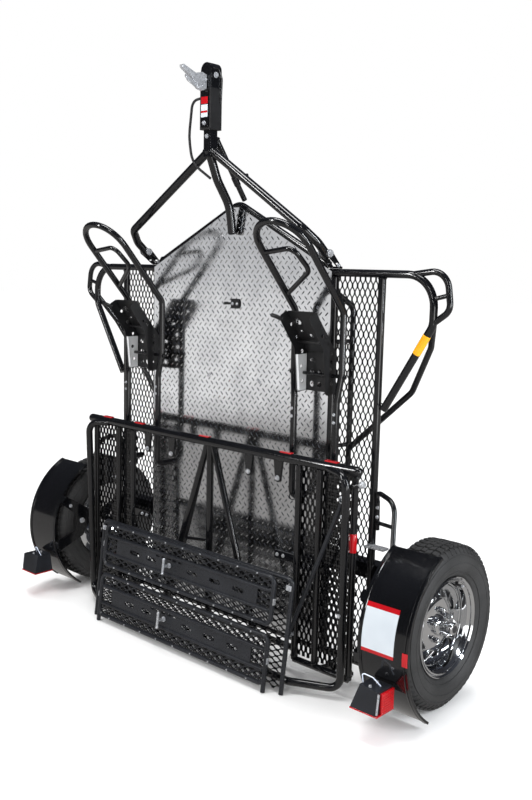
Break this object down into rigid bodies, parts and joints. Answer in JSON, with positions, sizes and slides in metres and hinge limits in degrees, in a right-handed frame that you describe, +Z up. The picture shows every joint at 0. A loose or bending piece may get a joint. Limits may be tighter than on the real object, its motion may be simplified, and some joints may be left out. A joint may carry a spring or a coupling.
{
  "type": "folding stand-up motorcycle trailer",
  "caption": "Folding motorcycle trailer stored on end: tread-plate deck, chromed wheels, hinged tongue with coupler, wheel chocks, folded rear frame and racked loading ramps.",
  "frame": {"origin": "on the ground, midway between the wheels, in the plane of the loading face of the deck, which is the middle of the bounding box; the trailer stands on its two tyres and the feet of the ramp rack", "axes": "+Z up, towards the coupler; +X to the right wheel seen from the loading side; -Y out of the loading face of the deck"},
  "size_m": [2.194, 0.731, 2.349],
  "materials": {
    "gloss_black": "gloss black powder coat",
    "tread_plate": "bright tread plate",
    "expanded_metal": "black coated expanded metal",
    "chrome_wheel": "polished chrome",
    "tyre": "matt moulded rubber",
    "lens": "moulded red lens",
    "lamp_box": "grained blue-grey plastic",
    "charcoal_steel": "satin charcoal paint",
    "zinc": "bright zinc plate",
    "cable": "plastic-sheathed cable"
  },
  "bodies": {
    "front_frame": {"front_bow_tube": "gloss_black", "outer_rail_left": "gloss_black", "outer_rail_right": "gloss_black", "inner_truss_left": "gloss_black", "inner_truss_right": "gloss_black", "side_hoop_left": "gloss_black", "side_hoop_right": "gloss_black", "back_strut_left": "gloss_black", "back_strut_right": "gloss_black", "front_mesh_left": "expanded_metal", "front_mesh_right": "expanded_metal", "deck_plate": "tread_plate", "deck_bow_tube": "gloss_black", "fold_hinge_bar": "gloss_black", "axle_tube": "gloss_black", "fender_left": "gloss_black", "fender_right": "gloss_black", "fender_guard_left": "gloss_black", "fender_guard_right": "gloss_black", "tail_light_left": "lamp_box", "tail_light_right": "lamp_box", "tail_lens_left": "lens", "tail_lens_right": "lens", "chock_hoop_left": "gloss_black", "chock_hoop_right": "gloss_black", "tongue_bracket_left": "gloss_black", "tongue_bracket_right": "gloss_black"},
    "chock_left": {"chock_cradle_left": "charcoal_steel"},
    "chock_right": {"chock_cradle_right": "charcoal_steel"},
    "tongue": {"tongue_a_tube": "gloss_black", "coupler_body": "charcoal_steel", "horn_tube": "gloss_black", "tongue_brace": "gloss_black", "safety_cable": "cable"},
    "latch": {"coupler_latch": "zinc"},
    "lock_handle": {"brace_handle": "charcoal_steel"},
    "arm_left": {"swing_arm_left": "gloss_black"},
    "arm_right": {"swing_arm_right": "gloss_black"},
    "wheel_left": {"tyre_left": "tyre", "rim_left": "chrome_wheel", "hub_left": "chrome_wheel"},
    "wheel_right": {"tyre_right": "tyre", "rim_right": "chrome_wheel", "hub_right": "chrome_wheel"},
    "rear_frame": {"bumper_tube": "gloss_black", "rear_hoop_tube": "gloss_black", "rear_rail_left": "gloss_black", "rear_rail_right": "gloss_black", "rear_mesh_left": "expanded_metal", "rear_mesh_right": "expanded_metal", "rear_spine": "gloss_black", "ramp_stay_rod": "gloss_black", "ramp_rack_frame": "gloss_black", "ramp_rack_mesh": "expanded_metal"},
    "upper_ramp": {"ramp_upper": "gloss_black"},
    "lower_ramp": {"ramp_lower": "gloss_black"},
    "upper_clamp": {"ramp_clamp_upper": "zinc"},
    "lower_clamp": {"ramp_clamp_lower": "zinc"}
  },
  "joints": [
    {"name": "tongue_fold", "type": "hinge", "parent": "front_frame", "child": "tongue", "pos_m": [0, -0.0455, 1.63], "axis": [1, 0, 0], "range_deg": [0, 50], "stiffness_Nm_per_rad": 400},
    {"name": "latch_lift", "type": "hinge", "parent": "tongue", "child": "latch", "pos_m": [0, -0.1919, 2.296], "axis": [-1, 0, 0], "range_deg": [0, 50]},
    {"name": "lock_handle_pull", "type": "slide", "parent": "tongue", "child": "lock_handle", "axis": [0, 0.8181, 0.575], "range_m": [0, 0.02], "stiffness_N_per_m": 400},
    {"name": "suspension_left", "type": "hinge", "parent": "front_frame", "child": "arm_left", "pos_m": [-0.85, 0.0825, 0.43], "axis": [1, 0, 0], "range_deg": [-9, 5], "stiffness_Nm_per_rad": 6000},
    {"name": "suspension_right", "type": "hinge", "parent": "front_frame", "child": "arm_right", "pos_m": [0.85, 0.0825, 0.43], "axis": [1, 0, 0], "range_deg": [-9, 5], "stiffness_Nm_per_rad": 6000},
    {"name": "wheel_spin_left", "type": "hinge", "parent": "arm_left", "child": "wheel_left", "pos_m": [-0.979, 0.0605, 0.305], "axis": [1, 0, 0], "continuous": true},
    {"name": "wheel_spin_right", "type": "hinge", "parent": "arm_right", "child": "wheel_right", "pos_m": [0.979, 0.0605, 0.305], "axis": [1, 0, 0], "continuous": true},
    {"name": "rear_fold", "type": "hinge", "parent": "front_frame", "child": "rear_frame", "pos_m": [0, -0.0575, 0.055], "axis": [1, 0, 0], "range_deg": [0, 178], "stiffness_Nm_per_rad": 300},
    {"name": "chock_rock_left", "type": "hinge", "parent": "front_frame", "child": "chock_left", "pos_m": [-0.5, -0.0595, 1.18], "axis": [1, 0, 0], "range_deg": [-8, 8], "stiffness_Nm_per_rad": 20},
    {"name": "chock_rock_right", "type": "hinge", "parent": "front_frame", "child": "chock_right", "pos_m": [0.5, -0.0595, 1.18], "axis": [1, 0, 0], "range_deg": [-8, 8], "stiffness_Nm_per_rad": 20},
    {"name": "upper_ramp_lift_off", "type": "slide", "parent": "rear_frame", "child": "upper_ramp", "axis": [0, -0.992, 0.1265], "range_m": [0, 0.12], "stiffness_N_per_m": 2000},
    {"name": "lower_ramp_lift_off", "type": "slide", "parent": "rear_frame", "child": "lower_ramp", "axis": [0, -0.992, 0.1265], "range_m": [0, 0.12], "stiffness_N_per_m": 2000},
    {"name": "upper_clamp_turn", "type": "hinge", "parent": "upper_ramp", "child": "upper_clamp", "pos_m": [-0.075, -0.29582, 0.34558], "axis": [0, -0.992, 0.1265], "continuous": true},
    {"name": "lower_clamp_turn", "type": "hinge", "parent": "lower_ramp", "child": "lower_clamp", "pos_m": [-0.075, -0.32429, 0.12239], "axis": [0, -0.992, 0.1265], "continuous": true}
  ]
}
